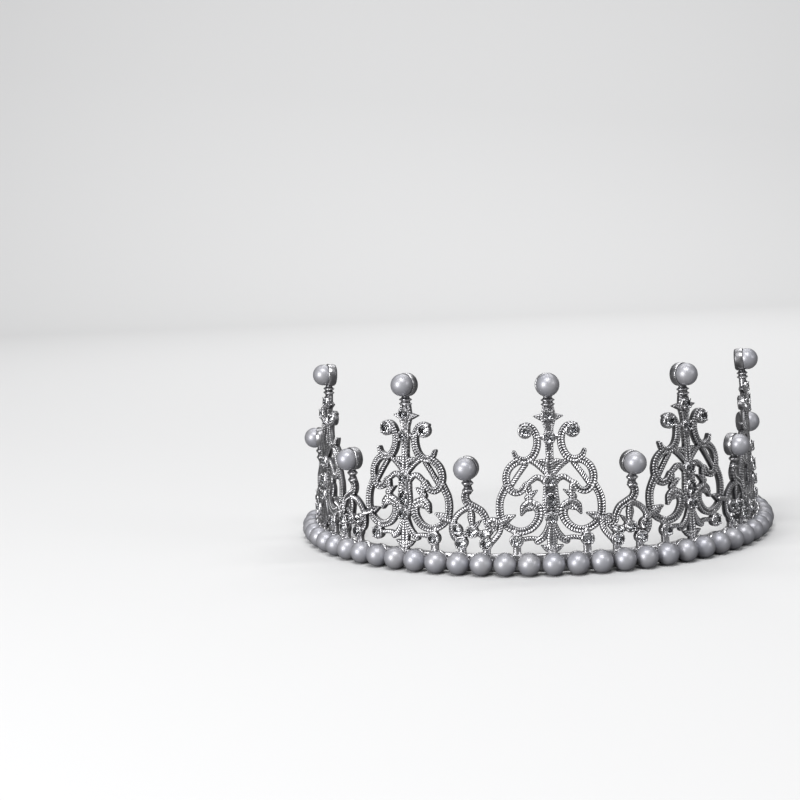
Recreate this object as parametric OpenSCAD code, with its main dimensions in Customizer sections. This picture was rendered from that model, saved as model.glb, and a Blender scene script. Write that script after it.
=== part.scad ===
// Open bridal crown: a curved pearl rail that carries five tall filigree
// panels and six small scrolls, each topped with an imitation pearl.
// Millimetres, +Z up. The crown's middle faces -Y and its open back faces +Y.

/* [Crown] */
// Distance from one rail pearl to the next, along the rail
pitch = 7.4; // [7.2:0.1:7.6]
// Diameter of every pearl
pearl_d = 7.0; // [6.6:0.1:7.0]
// Rail pearls on each side of the middle one
side_pearls = 17; // [16:1:17]
// Bend radius of the pearl line across the front
front_r = 80; // [76:1:84]
// Bend radius of the pearl line along each side
side_r = 71; // [68:1:74]
// Pitches from the middle pearl to where the sides' bend takes over
bend_change = 9; // [8.8:0.1:9.2]
// How far the tall panels lean in, in degrees
panel_lean = 4; // [3:0.5:6]
// How far the small scrolls lean in, in degrees
scroll_lean = 0; // [0:0.5:2]

/* [Panels] */
// Thickness of the cast filigree
wall_t = 1.8; // [1.6:0.1:2.0]
// How far the filigree's middle lies inside the pearl line
wall_in = 3.1; // [3.0:0.1:3.4]
// Pitches from one tall panel to the next
panel_step = 6.75; // [6.7:0.05:6.8]
// Width of the ordinary filigree strokes
stroke_w = 2.1; // [1.8:0.1:2.2]
// Height of a tall panel's pearl above the rail pearls' centres
top_h = 54; // [53.8:0.1:54.6]
// Height of a small scroll's pearl above the rail pearls' centres
scroll_h = 29.2; // [29:0.1:29.6]

/* [Rail] */
// Thickness of the rail's strip
strip_t = 1.8; // [1.6:0.1:2.0]
// How far the rib stands proud of the strip's inside
rib_out = 0.9; // [0.7:0.1:1]

/* [Pearl cups] */
// Radius of the shallow cup behind each rail pearl
cup_r = 3.55; // [3.5:0.05:3.6]
// Radius of the deeper cup behind each top pearl
drum_r = 3.65; // [3.6:0.05:3.75]
// Metal left between a top pearl and the flat back of its cup
drum_t = 0.6; // [0.5:0.1:0.7]
// Thickness of the glue between a pearl and its cup
glue = 0.03; // [0.02:0.01:0.05]

/* [Stones] */
// Radius of a round stone's widest edge
stone_r = 1.6; // [1.5:0.05:1.65]
// Radius of a round stone's setting
setting_r = 2.1; // [2.0:0.05:2.2]

/* [Ribbon eyes] */
// Outside diameter of the ring at each end of the rail
eye_d = 9.2; // [9:0.1:9.4]
// Diameter of the ring's hole, which takes a ribbon or cord
eye_hole = 4.8; // [4.6:0.1:5]
// Thickness of the ring
eye_t = 2.4; // [2.2:0.1:2.6]
// Diameter of the rod between the rail and the ring
rod_d = 2.2; // [2:0.1:2.4]

/* [Hidden] */

$fn = 48;
silver = [0.66, 0.66, 0.67];
nacre = [0.73, 0.72, 0.77];
clear_stone = [0.86, 0.88, 0.92, 0.85];

// The plan is three arcs that meet smoothly: front, then one for each side.
bend_s = bend_change * pitch;
bend_a = bend_s / front_r * 180 / PI;
side_c = (front_r - side_r) * [sin(bend_a), -cos(bend_a)];

// Heading, centre of bend and bend radius at a signed distance s along the pearl line.
function heading(s) = abs(s) <= bend_s ? s / front_r * 180 / PI
    : sign(s) * (bend_a + (abs(s) - bend_s) / side_r * 180 / PI);
function bend_r(s) = abs(s) <= bend_s ? front_r : side_r;
function bend_c(s) = abs(s) <= bend_s ? [0, 0] : [sign(s) * side_c.x, side_c.y];
function line_point(s) = bend_c(s) + bend_r(s) * [sin(heading(s)), -cos(heading(s))];

// Heights above the surface that the crown stands on.
rail_above = 2.7;
rail_below = 2.9;
pearl_z = cup_r;
rail_top = pearl_z + rail_above;
rail_low = pearl_z - rail_below;
eye_bevel = 0.6;
eye_lip = 0.4;
eye_lift = 0.1;
eye_z = eye_d / 2 + eye_lift;

// Distances along the rail from the middle: the last pearl, the rail's end and the ring's centre.
rail_past_pearl = 3.4;
rod_shown = 3.5;
rod_in_ring = 0.8;
last_s = side_pearls * pitch;
rail_end = last_s + rail_past_pearl;
eye_s = rail_end + rod_shown + eye_d / 2;

// The origin sits midway between the middle pearl's face and the ring's back edge.
front_y = -front_r - pearl_d / 2;
back_y = line_point(eye_s).y + wall_in * cos(heading(eye_s))
    + eye_d / 2 * sin(heading(eye_s)) + (eye_t / 2 - eye_bevel) * abs(cos(heading(eye_s)));
mid_y = (front_y + back_y) / 2;

// How far a top pearl's centre lies in front of the wall's middle, how far behind a pearl's
// centre its cup's rim and a rail cup's back lie, and the width of every post.
pearl_out = 2.2;
rim_behind = 1.2;
rail_cup_back = 2.6;
post_w = 2.2;
post_below = 2;

// A stone's point, widest edge and table, as distances in front of the wall's middle.
point_z = 0.35;
girdle_z = 1.5;
girdle_t = 0.2;
crown_t = 0.5;
point_r = 0.15;
table_share = 0.6;
rim_w = 0.3;

// Where the tall panels and the small scrolls stand along the pearl line.
panel_at = [for (i = [-2:2]) i * panel_step * pitch];
scroll_at = [for (i = [-2.5:1:2.5]) i * panel_step * pitch];

// A smooth line through the points given: each span is a cubic whose slopes follow its neighbours.
function cubic(a, b, c, d, t) =
    0.5 * (2 * b + (c - a) * t + (2 * a - 5 * b + 4 * c - d) * t * t
        + (3 * b - a - 3 * c + d) * t * t * t);
function smooth(p, n = 5) = let (last = len(p) - 1) concat(
    [for (i = [0:last - 1], k = [0:n - 1]) cubic(
        i > 0 ? p[i - 1] : 2 * p[0] - p[1], p[i], p[i + 1],
        i + 1 < last ? p[i + 2] : 2 * p[last] - p[last - 1], k / n)],
    [p[last]]);
function unit(v) = v / norm(v);
function side_of(p, i) = let (last = len(p) - 1,
    d = unit(p[min(i + 1, last)] - p[max(i - 1, 0)])) [-d.y, d.x];

// A filigree stroke along points, which swells or thins evenly from one width to the other.
module stroke(points, w = stroke_w, w_end = -1) {
    p = smooth(points);
    last = len(p) - 1;
    e = w_end < 0 ? w : w_end;
    half = [for (i = [0:last]) (w + (e - w) * i / last) / 2];
    polygon(concat(
        [for (i = [0:last]) p[i] + side_of(p, i) * half[i]],
        [for (i = [last:-1:0]) p[i] - side_of(p, i) * half[i]]));
    translate(p[0]) circle(d = w, $fn = 16);
    translate(p[last]) circle(d = e, $fn = 16);
}

// A post from a foot's stone down past the rail's top, where the rail cuts it off.
module post(u, h) {
    translate([u - post_w / 2, -post_below]) square([post_w, h + post_below]);
}

module both_sides() {
    children();
    mirror([1, 0]) children();
}

// Where the children stand: at distance s along the pearl line, x along it, -y outwards.
module at_station(s) {
    translate([bend_c(s).x, bend_c(s).y - mid_y, 0]) rotate([0, 0, heading(s)]) children();
}

// The same, leaning in by an angle about the wall's foot, with height 0 at the pearls' centres.
module on_lean(s, lean) {
    at_station(s) translate([0, -(bend_r(s) - wall_in), pearl_z]) rotate([-lean, 0, 0])
        translate([0, bend_r(s) - wall_in, 0]) children();
}

// A place on the leaning wall: u along it, h up it, and the children's z axis pointing outwards.
module on_wall(s, u, h) {
    r = bend_r(s) - wall_in;
    rotate([0, 0, asin(u / r)]) translate([0, -r, h]) rotate([90, 0, 0]) children();
}

// A flat outline carried onto the curved wall as one even thickness of metal.
module curved_plate(s) {
    r = bend_r(s) - wall_in;
    intersection() {
        translate([0, -r + 4, 0]) rotate([90, 0, 0]) linear_extrude(6) children();
        difference() {
            translate([0, 0, -5]) cylinder(r = r + wall_t / 2, h = 70, $fn = 120);
            translate([0, 0, -6]) cylinder(r = r - wall_t / 2, h = 72, $fn = 120);
        }
    }
}

// Everything above the rail's top face, where the castings are soldered on.
module above_rail() {
    difference() {
        children();
        translate([-150, -150, rail_top - 20]) cube([300, 300, 20]);
    }
}

// Round setting, its conical seat and the stone in it, all about the outward axis.
module setting(r = setting_r) {
    translate([0, 0, -wall_t / 4]) cylinder(r = r, h = wall_t / 4 + girdle_z);
}
module seat() {
    low = point_z - 0.05;
    translate([0, 0, low]) cylinder(r1 = point_r + 0.05, r2 = stone_r + glue, h = girdle_z - low);
    translate([0, 0, girdle_z - 0.1]) cylinder(r = stone_r + glue, h = 1);
}
module stone() {
    translate([0, 0, point_z]) cylinder(r1 = point_r, r2 = stone_r, h = girdle_z - point_z);
    translate([0, 0, girdle_z]) cylinder(r = stone_r, h = girdle_t);
    translate([0, 0, girdle_z + girdle_t])
        cylinder(r1 = stone_r, r2 = table_share * stone_r, h = crown_t);
}

// Drum-shaped cup that holds a top pearl from behind; the pearl's own space is cut after joining.
module drum() {
    deep = pearl_d / 2 + drum_t;
    translate([0, 0, pearl_out - deep]) {
        cylinder(r1 = drum_r - drum_t, r2 = drum_r, h = drum_t);
        translate([0, 0, drum_t]) cylinder(r = drum_r, h = deep - drum_t - rim_behind);
    }
}
module pearl_space() {
    translate([0, 0, pearl_out]) sphere(r = pearl_d / 2 + glue);
}

// Tall panel, one half of its open work. u is across from the spine, the second number is height.
foot_u = 10.7;
foot_h = 6.8;
curl = [7.1, 40.1];
spine_stones = [13.6, 24.8, 38, 44.9];
window_h = 18.6;
module panel_half() {
    // lower scroll: from the outer shoulder round under the belly to a leaf inside
    stroke([[13.4, 23.2], [15.1, 19.7], [15.5, 16.2], [14.9, 13.1], [12.7, 10.7],
        [9.5, 9.6], [6.4, 10.4], [4.2, 12.8], [3.6, 15.4], [4.7, 17.4], [7, 17.2]]);
    polygon([[4, 14.6], [5.6, 15.7], [8.9, 14.8], [8.6, 17.3], [5.4, 19.2], [3.2, 17.5]]);
    polygon([[14.9, 12.6], [13.9, 15.4], [11.3, 14.3], [12.6, 13.5], [12.4, 11.6]]);
    // upright leaf that ties the lower scroll to the upper one
    stroke([[6.7, 17.6], [6.5, 20.4], [6.9, 23.2]], 1.9);
    polygon([[6.2, 19.6], [4.3, 21.8], [6.1, 22.6], [7.2, 21]]);
    // upper scroll and the bar across it
    stroke([[7.3, 23.9], [8.9, 21.9], [11, 21.6], [12.7, 23.4], [13.2, 26.1],
        [12.3, 28.8], [10, 30.8], [7.6, 31.2]]);
    stroke([[7.3, 30], [9.4, 27.2], [11.6, 24]], 1.3);
    // horn that turns up into the stone curl
    stroke([[10.6, 33.5], [9.7, 32], [7.6, 31.2], [5.3, 32.2], [3.9, 34.8],
        [3.6, 37.8], [4.6, 40.4], [6.2, 41.5]]);
    translate(curl) circle(r = setting_r + 0.1, $fn = 32);
    // arms from the horn down to the spine, and the moustache leaf below them
    stroke([[6.4, 31.8], [3.6, 29.6], [1, 27]], 1.5);
    stroke([[1.4, 24], [2.6, 25.4], [4.2, 25.9], [5.9, 24.8], [7.1, 23.9]], 1.5);
    // foot stone, its leaf and its link
    translate([foot_u, foot_h]) circle(r = setting_r, $fn = 32);
    stroke([[foot_u, foot_h], [10.9, 9.6]], 1.6);
    stroke([[0.9, 11.6], [1.9, 9], [4.3, 6.6]], 1.2, 2);
    stroke([[4.3, 6.9], [6.4, 7.3], [8.9, 7.1]], 1.1);
    // bud that reaches from the spine's stone to the horn
    stroke([[1.4, 38.2], [3.4, 38.2]], 1.3);
}
module panel_spine() {
    // fleur at the bottom, then the body with its stones, then the star leaves and the collar
    polygon([[-1.3, -2], [-1.3, 3.5], [-3.1, 4.8], [-1.5, 5.4], [-0.8, 11.5],
        [0.8, 11.5], [1.5, 5.4], [3.1, 4.8], [1.3, 3.5], [1.3, -2]]);
    stroke([[0, 11.4], [0, 13.6]], 3.2, 4.2);
    stroke([[0, 13.6], [0, window_h]], 4.2, 5);
    stroke([[0, window_h], [0, 22]], 5, 4.2);
    stroke([[0, 22], [0, 25.4]], 4.2, 4);
    stroke([[0, 25], [0, 28]], 2.8);
    polygon([[0, 26.4], [1.5, 29.4], [3.9, 30.7], [1.3, 31.4], [1, 33.2],
        [-1, 33.2], [-1.3, 31.4], [-3.9, 30.7], [-1.5, 29.4]]);
    stroke([[0, 32], [0, 50]], 2.3, 2.6);
    for (h = [38, 44.9]) translate([0, h]) circle(r = 2, $fn = 32);
    polygon([[-1.3, 42.4], [-4.1, 44.2], [-1.6, 46.4], [1.6, 46.4], [4.1, 44.2], [1.3, 42.4]]);
    translate([-1.7, 46.5]) square([3.4, 5]);
    for (h = [48.6, 50]) stroke([[-1.6, h], [1.6, h]], 1.5);
}
module panel_outline(posts) {
    panel_spine();
    both_sides() panel_half();
    for (k = posts) post(k * foot_u, foot_h);
}

// The middle panel stands on both foot posts, the others only on the post nearer the front.
function posts_of(i) = i == 2 ? [-1, 1] : [i < 2 ? 1 : -1];

module panel(i) {
    s = panel_at[i];
    color(silver) above_rail() on_lean(s, panel_lean) difference() {
        union() {
            curved_plate(s) offset(delta = -0.1) offset(delta = 0.1) panel_outline(posts_of(i));
            for (h = spine_stones) on_wall(s, 0, h) setting(stone_r + rim_w);
            on_wall(s, 0, window_h) setting(stone_r + rim_w);
            for (k = [-1, 1]) {
                on_wall(s, k * foot_u, foot_h) setting();
                on_wall(s, k * curl.x, curl.y) setting();
            }
            on_wall(s, 0, top_h) drum();
        }
        for (h = spine_stones) on_wall(s, 0, h) seat();
        on_wall(s, 0, window_h) seat();
        for (k = [-1, 1]) {
            on_wall(s, k * foot_u, foot_h) seat();
            on_wall(s, k * curl.x, curl.y) seat();
        }
        on_wall(s, 0, top_h) pearl_space();
    }
}
module panel_stones(i) {
    s = panel_at[i];
    color(clear_stone) on_lean(s, panel_lean) {
        for (h = spine_stones) on_wall(s, 0, h) stone();
        on_wall(s, 0, window_h) stone();
        for (k = [-1, 1]) {
            on_wall(s, k * foot_u, foot_h) stone();
            on_wall(s, k * curl.x, curl.y) stone();
        }
    }
}
module panel_pearl(i) {
    color(nacre) on_lean(panel_at[i], panel_lean) on_wall(panel_at[i], 0, top_h)
        translate([0, 0, pearl_out]) sphere(d = pearl_d);
}

// Small scroll. Every second one round the crown is the mirror image of the drawing.
scroll_u = -1.6;
scroll_feet = [[-3.9, 6], [3.9, 6]];
scroll_heart = [-0.3, 9.6];
scroll_leaves = [[-5, 10.2], [3.6, 8.9]];
module scroll_outline(outer_link) {
    for (p = scroll_feet) {
        translate(p) circle(r = setting_r, $fn = 32);
        post(p.x, p.y);
    }
    translate(scroll_heart) circle(r = 2, $fn = 32);
    stroke([[-6.2, 11.2], [-3.6, 8.4], [0, 9.4], [3.6, 8.2], [5, 9.4]], 1.9);
    // neck under the pearl and the twisted stem that swings out to the right
    stroke([[scroll_u, 27], [-1.4, 22]], 2.6);
    for (p = [[-1.5, 24.8], [-1.3, 22.2]]) translate(p) circle(r = 1.7, $fn = 32);
    stroke([[-1.5, 22], [-2.3, 20.2], [-1.6, 18.4], [0.4, 17.2], [2.7, 15.8],
        [4, 13.6], [4.5, 11.6], [6, 10.3]]);
    // left arch, the centre leaf, and the links that reach the tall panels
    stroke([[-0.6, 16.9], [-3.2, 16], [-5.6, 13.9], [-7, 11], [-6.6, 8], [-4.6, 6]], 1.7);
    stroke([[-0.6, 17], [-0.6, 14], [-0.3, 10]], 1.4, 2.2);
    if (outer_link) stroke([[-6.6, 12], [-8.2, 12.6], [-10.4, 13.2]], 1.5);
    stroke([[4.6, 11.6], [6, 13], [8, 12.4], [10.4, 13.2]], 1.5);
    stroke([[8.6, 12.2], [8, 9.4], [5.6, 6.4], [4, 5]], 1.6);
}
module scroll_body(s, outer_link) {
    difference() {
        union() {
            curved_plate(s) offset(delta = -0.1) offset(delta = 0.1) scroll_outline(outer_link);
            for (p = scroll_feet) on_wall(s, p.x, p.y) setting();
            for (p = concat([scroll_heart], scroll_leaves)) on_wall(s, p.x, p.y) setting(stone_r + rim_w);
            on_wall(s, scroll_u, scroll_h) drum();
        }
        for (p = concat([scroll_heart], scroll_feet, scroll_leaves)) on_wall(s, p.x, p.y) seat();
        on_wall(s, scroll_u, scroll_h) pearl_space();
    }
}
module handed(i) {
    if (i % 2 == 0) children();
    else mirror([1, 0, 0]) children();
}
module scroll(i) {
    s = scroll_at[i];
    color(silver) above_rail() on_lean(s, scroll_lean) handed(i) scroll_body(s, i > 0 && i < 5);
}
module scroll_stones(i) {
    s = scroll_at[i];
    color(clear_stone) on_lean(s, scroll_lean) handed(i)
        for (p = concat([scroll_heart], scroll_feet, scroll_leaves)) on_wall(s, p.x, p.y) stone();
}
module scroll_pearl(i) {
    s = scroll_at[i];
    color(nacre) on_lean(s, scroll_lean) handed(i) on_wall(s, scroll_u, scroll_h)
        translate([0, 0, pearl_out]) sphere(d = pearl_d);
}

// The rail: one upright strip with a rib low on its inside, both following the pearl line.
function band_edge(inset) = [for (s = [-rail_end:2 * rail_end / 108:rail_end + 0.01])
    line_point(s) - [0, mid_y] - inset * [sin(heading(s)), -cos(heading(s))]];
function turned(p) = [for (i = [len(p) - 1:-1:0]) p[i]];
module band(near, far, low, high) {
    translate([0, 0, low]) linear_extrude(high - low)
        polygon(concat(band_edge(near), turned(band_edge(far))));
}
module rail_strip() {
    band(wall_in - strip_t / 2, wall_in + strip_t / 2, rail_low, rail_top);
    band(wall_in, wall_in + strip_t / 2 + rib_out, rail_low + 0.5, rail_low + 2.1);
}

// A place on the pearl line at pearl height, with the children's z axis pointing outwards.
module at_pearl(s) {
    at_station(s) translate([0, -bend_r(s), pearl_z]) rotate([90, 0, 0]) children();
}

// Cone of solder metal where a post of a panel or a scroll meets the rail's inside.
module mound(s) {
    at_station(s) translate([0, -(bend_r(s) - wall_in - 1), rail_low + 0.8])
        cylinder(r1 = 1.7, r2 = 0.9, h = 4.4);
}
function feet_of_panel(i) = concat([panel_at[i]], [for (k = posts_of(i)) panel_at[i] + k * foot_u]);
function feet_of_scroll(i) = [for (p = scroll_feet) scroll_at[i] + p.x];
rail_feet = concat([for (i = [0:4]) each feet_of_panel(i)], [for (i = [0:5]) each feet_of_scroll(i)]);

// Ring with its rod, which butts on the rail's end face.
module end_eye() {
    at_station(eye_s) translate([0, -(bend_r(eye_s) - wall_in), eye_z]) rotate([90, 0, 0])
        rotate_extrude() polygon([
            [eye_hole / 2 + eye_lip, -eye_t / 2], [eye_d / 2 - eye_bevel, -eye_t / 2],
            [eye_d / 2, -eye_t / 2 + eye_bevel], [eye_d / 2, eye_t / 2 - eye_bevel],
            [eye_d / 2 - eye_bevel, eye_t / 2], [eye_hole / 2 + eye_lip, eye_t / 2],
            [eye_hole / 2, eye_t / 2 - eye_lip], [eye_hole / 2, -eye_t / 2 + eye_lip]]);
    rod_l = eye_s - eye_hole / 2 - rod_in_ring - rail_end;
    at_station(rail_end) translate([0, -(bend_r(rail_end) - wall_in), eye_z])
        rotate([0, 90, 0]) cylinder(d = rod_d, h = rod_l);
}
module right_end_eye() { color(silver) end_eye(); }
module left_end_eye() { color(silver) mirror([1, 0, 0]) end_eye(); }

module pearl_rail() {
    color(silver) difference() {
        union() {
            rail_strip();
            for (i = [-side_pearls:side_pearls]) at_pearl(i * pitch)
                translate([0, 0, -rail_cup_back]) cylinder(r = cup_r, h = rail_cup_back - rim_behind);
            for (s = rail_feet) mound(s);
        }
        for (i = [-side_pearls:side_pearls]) at_pearl(i * pitch) sphere(r = pearl_d / 2 + glue);
    }
}
module rail_pearls(group) {
    color(nacre) for (i = [5 * group - 22:5 * group - 18])
        at_pearl(i * pitch) sphere(d = pearl_d);
}

pearl_rail();
left_end_eye();
right_end_eye();
for (g = [1:7]) rail_pearls(g);
for (i = [0:4]) {
    panel(i);
    panel_pearl(i);
    panel_stones(i);
}
for (i = [0:5]) {
    scroll(i);
    scroll_pearl(i);
    scroll_stones(i);
}
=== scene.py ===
# %% [markdown]
# # An open bridal crown of antiqued silver, pearls and rhinestones
# The crown is a curved rail of imitation pearls that carries five tall panels and six small
# scrolls of cast filigree. The CAD model fixes where everything is. Here each casting is made
# again with its ropes, leaves, claws and cups, the pearls get their lacquer and the stones
# their facets. Everything is worked out on arrays, so one formula makes a whole rope at once.

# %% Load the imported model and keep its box
import bpy
import numpy as np
from mathutils import Matrix, Vector


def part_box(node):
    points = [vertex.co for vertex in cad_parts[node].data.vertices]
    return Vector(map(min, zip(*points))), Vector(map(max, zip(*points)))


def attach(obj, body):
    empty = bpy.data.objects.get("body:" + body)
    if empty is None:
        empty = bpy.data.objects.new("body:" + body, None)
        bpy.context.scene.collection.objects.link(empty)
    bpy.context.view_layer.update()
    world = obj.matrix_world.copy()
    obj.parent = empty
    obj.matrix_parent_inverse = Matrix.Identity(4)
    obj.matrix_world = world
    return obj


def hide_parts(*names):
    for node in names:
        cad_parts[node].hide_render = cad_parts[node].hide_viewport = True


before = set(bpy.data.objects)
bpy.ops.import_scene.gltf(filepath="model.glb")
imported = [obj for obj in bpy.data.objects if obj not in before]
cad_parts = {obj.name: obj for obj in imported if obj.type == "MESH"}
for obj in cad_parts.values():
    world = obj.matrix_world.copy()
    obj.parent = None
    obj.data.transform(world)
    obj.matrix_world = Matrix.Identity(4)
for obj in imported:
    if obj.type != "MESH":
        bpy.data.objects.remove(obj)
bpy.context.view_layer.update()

MM = 0.001

# %% [markdown]
# ## Camera
# The camera stands a little to one side of the crown's middle and looks slightly down on it,
# about half a metre away. It is set by where it stands around the centre of the front's bend,
# and by the direction that it looks in. A longish lens keeps the pearls round at the edges.

# %% Camera
PEARL_R = 3.5
FRONT_R = 80.0
front_low, front_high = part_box("rail_pearls_4")
BEND_Y = front_low[1] / MM + FRONT_R + PEARL_R
PEARL_Z = (front_low[2] + front_high[2]) / 2 / MM

CAMERA_AWAY = 553.6
CAMERA_AZIMUTH, CAMERA_ELEVATION = -3.92, 11.5
LOOK_AZIMUTH, LOOK_ELEVATION, LOOK_ROLL = 0.915, 7.24, -2.3
LENS = 70.15


def direction(azimuth, elevation):
    """Unit vector from what is looked at back to the eye; azimuth 0 stands on the -Y side."""
    a, e = np.radians([azimuth, elevation])
    return Vector((np.sin(a) * np.cos(e), -np.cos(a) * np.cos(e), np.sin(e)))


def make_camera():
    """Camera at the bend's centre plus the distance times its direction, rolled about its view."""
    data = bpy.data.cameras.new("camera")
    data.lens = LENS
    data.clip_start, data.clip_end = 0.01, 20
    camera = bpy.data.objects.new("camera", data)
    bpy.context.scene.collection.objects.link(camera)
    centre = Vector((0, BEND_Y, PEARL_Z))
    camera.location = (centre + CAMERA_AWAY * direction(CAMERA_AZIMUTH, CAMERA_ELEVATION)) * MM
    look = direction(LOOK_AZIMUTH, LOOK_ELEVATION).to_track_quat("Z", "Y").to_matrix()
    camera.rotation_euler = (look @ Matrix.Rotation(np.radians(LOOK_ROLL), 3, "Z")).to_euler()
    bpy.context.scene.camera = camera
    return camera


camera = make_camera()
print("camera at", [round(v, 3) for v in camera.location])

# %% [markdown]
# ## Where a place on the crown is
# The line of pearls is three arcs that meet smoothly, a wide one across the front and a
# tighter one on each side. The filigree stands on a wall just inside that line; the tall panels
# lean in by a few degrees. A casting is drawn flat, with u across, h up and n outwards, and these
# functions then bend it onto that wall, which is how a maker bends the flat cast piece too.

# %% The plan of the crown
PITCH = 7.4
SIDE_R = 71.0
BEND_S = 9 * PITCH
BEND_A = BEND_S / FRONT_R
WALL_IN = 3.1
PANEL_LEAN, SCROLL_LEAN = np.radians(4), 0.0
PANEL_STEP = 6.75 * PITCH
SIDE_PEARLS = 17
SIDE_C = (FRONT_R - SIDE_R) * np.array([np.sin(BEND_A), -np.cos(BEND_A)])


def heading(s):
    """Angle turned along the pearl line: s over the front's radius, then over the side's."""
    s = np.asarray(s, float)
    past = np.maximum(np.abs(s) - BEND_S, 0)
    return np.sign(s) * (np.minimum(np.abs(s), BEND_S) / FRONT_R + past / SIDE_R)


def bend_radius(s):
    """Radius of the arc that s lies on: the front's up to BEND_S, the side's past it."""
    return np.where(np.abs(s) <= BEND_S, FRONT_R, SIDE_R)


def bend_centre(s):
    """Centre of the arc that s lies on, as arrays of x and y."""
    side = np.abs(s) > BEND_S
    return side * np.sign(s) * SIDE_C[0], BEND_Y + side * SIDE_C[1]


def from_station(s, x, y, z):
    """Turn points drawn about the bend centre by the heading at s and move them to that centre."""
    a = heading(s)
    cx, cy = bend_centre(s)
    return np.stack(np.broadcast_arrays(
        cx + x * np.cos(a) - y * np.sin(a), cy + x * np.sin(a) + y * np.cos(a), z), -1)


def beside_line(s, inside, z):
    """Points that lie a distance inside the pearl line at s, at height z."""
    return from_station(s, 0 * s, -(bend_radius(s) - inside), z)


def lean_in(s, lean, x, y, z):
    """Turn points about the wall's foot by the lean, then place them at the station s."""
    foot = -(bend_radius(s) - WALL_IN)
    away = y - foot
    return from_station(s, x, foot + away * np.cos(lean) + z * np.sin(lean),
                        PEARL_Z + z * np.cos(lean) - away * np.sin(lean))


def on_wall(s, lean=PANEL_LEAN):
    """Map (u, h, n) onto the wall: u is across the chord, h up and n out from the wall's middle."""
    r = bend_radius(s) - WALL_IN

    def place(p):
        a = np.arcsin(p[..., 0] / r)
        out = r + p[..., 2]
        return lean_in(s, lean, out * np.sin(a), -out * np.cos(a), p[..., 1])
    return place


def standing(s, u, h, turn=0.0, lean=PANEL_LEAN):
    """Map (x, y, z) to a rigid place on the wall at (u, h), with z outwards, turned about z."""
    r = bend_radius(s) - WALL_IN
    a = np.arcsin(u / r)
    c, t = np.cos(turn), np.sin(turn)

    def place(p):
        x, y = c * p[..., 0] - t * p[..., 1], t * p[..., 0] + c * p[..., 1]
        out = r + p[..., 2]
        return lean_in(s, lean, out * np.sin(a) + x * np.cos(a),
                       -out * np.cos(a) + x * np.sin(a), h + y)
    return place


def at_pearl(s):
    """Map (x, y, z) to the pearl line at s and at the pearls' height, with z outwards."""
    def place(p):
        return from_station(s, p[..., 0], -(bend_radius(s) + p[..., 2]), PEARL_Z + p[..., 1])
    return place


PANELS = [i * PANEL_STEP for i in (-2, -1, 0, 1, 2)]
SCROLLS = [i * PANEL_STEP for i in (-2.5, -1.5, -0.5, 0.5, 1.5, 2.5)]
print("panel headings in degrees:", np.degrees(heading(np.array(PANELS))).round(1))

# %% [markdown]
# ## Skins
# Every part of a casting is a closed skin over a grid: rings of points one after another, with
# a point at each end to close it. A signed volume, the sum of the small pyramids between each
# face and the origin, tells whether the faces point outwards, and turns them round if not.
# Each point also keeps how high its relief stands, which the silver's patina reads later.

# %% Closed skins and meshes
def skin(rings, relief, looped=False):
    """Faces between neighbouring rings; the ends close to their mean point, or the last ring
    meets the first one when looped. Relief is 0 in a recess and 1 on a crest."""
    rows, cols = rings.shape[:2]
    relief = np.broadcast_to(relief, (rows, cols))
    i, j = np.meshgrid(np.arange(rows if looped else rows - 1), np.arange(cols), indexing="ij")
    nxt, up = (j + 1) % cols, (i + 1) % rows
    quads = np.stack([i * cols + j, i * cols + nxt, up * cols + nxt, up * cols + j], -1)
    verts, marks = rings.reshape(-1, 3), relief.ravel()
    tris = np.zeros((0, 3), int)
    if not looped:
        k = np.arange(cols)
        low, high, last = 0 * k + rows * cols, 0 * k + rows * cols + 1, (rows - 1) * cols
        tris = np.concatenate([np.stack([low, (k + 1) % cols, k], -1),
                               np.stack([high, last + k, last + (k + 1) % cols], -1)])
        verts = np.vstack([verts, rings[0].mean(0), rings[-1].mean(0)])
        marks = np.append(marks, [relief[0].mean(), relief[-1].mean()])
    return verts, quads.reshape(-1, 4), tris, marks


def outward(verts, quads, tris):
    """Signed volume of the skin; its faces are reversed if it is negative."""
    half = np.concatenate([quads[:, :3], quads[:, [0, 2, 3]], tris])
    a, b, c = (verts[half[:, k]] for k in range(3))
    if np.einsum("ij,ij->i", a - verts[0], np.cross(b - verts[0], c - verts[0])).sum() < 0:
        return quads[:, ::-1], tris[:, ::-1]
    return quads, tris


def placed(part, place):
    """Move a skin's points by a mapping and make sure that its faces point outwards."""
    verts = place(part[0])
    return (verts, *outward(verts, part[1], part[2]), part[3])


def piece(name, parts, material, node, smooth=True):
    """One Blender object out of many skins, in metres, riding on the crown's only body."""
    verts = np.concatenate([p[0] for p in parts]) * MM
    starts = np.cumsum([0] + [len(p[0]) for p in parts])
    quads = np.concatenate([p[1] + k for p, k in zip(parts, starts)])
    tris = np.concatenate([p[2] + k for p, k in zip(parts, starts)])
    mesh = bpy.data.meshes.new(name)
    mesh.vertices.add(len(verts))
    mesh.vertices.foreach_set("co", verts.ravel())
    mesh.loops.add(4 * len(quads) + 3 * len(tris))
    mesh.loops.foreach_set("vertex_index", np.concatenate([quads.ravel(), tris.ravel()]))
    mesh.polygons.add(len(quads) + len(tris))
    first = np.concatenate([4 * np.arange(len(quads)), 4 * len(quads) + 3 * np.arange(len(tris))])
    mesh.polygons.foreach_set("loop_start", first)
    mesh.polygons.foreach_set("use_smooth", np.full(len(first), smooth))
    relief = mesh.attributes.new("relief", "FLOAT", "POINT")
    relief.data.foreach_set("value", np.concatenate([p[3] for p in parts]))
    mesh.update(calc_edges=True)
    mesh.materials.append(material)
    made = bpy.data.objects.new(name, mesh)
    bpy.context.scene.collection.objects.link(made)
    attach(made, "root")
    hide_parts(node)
    return made


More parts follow.
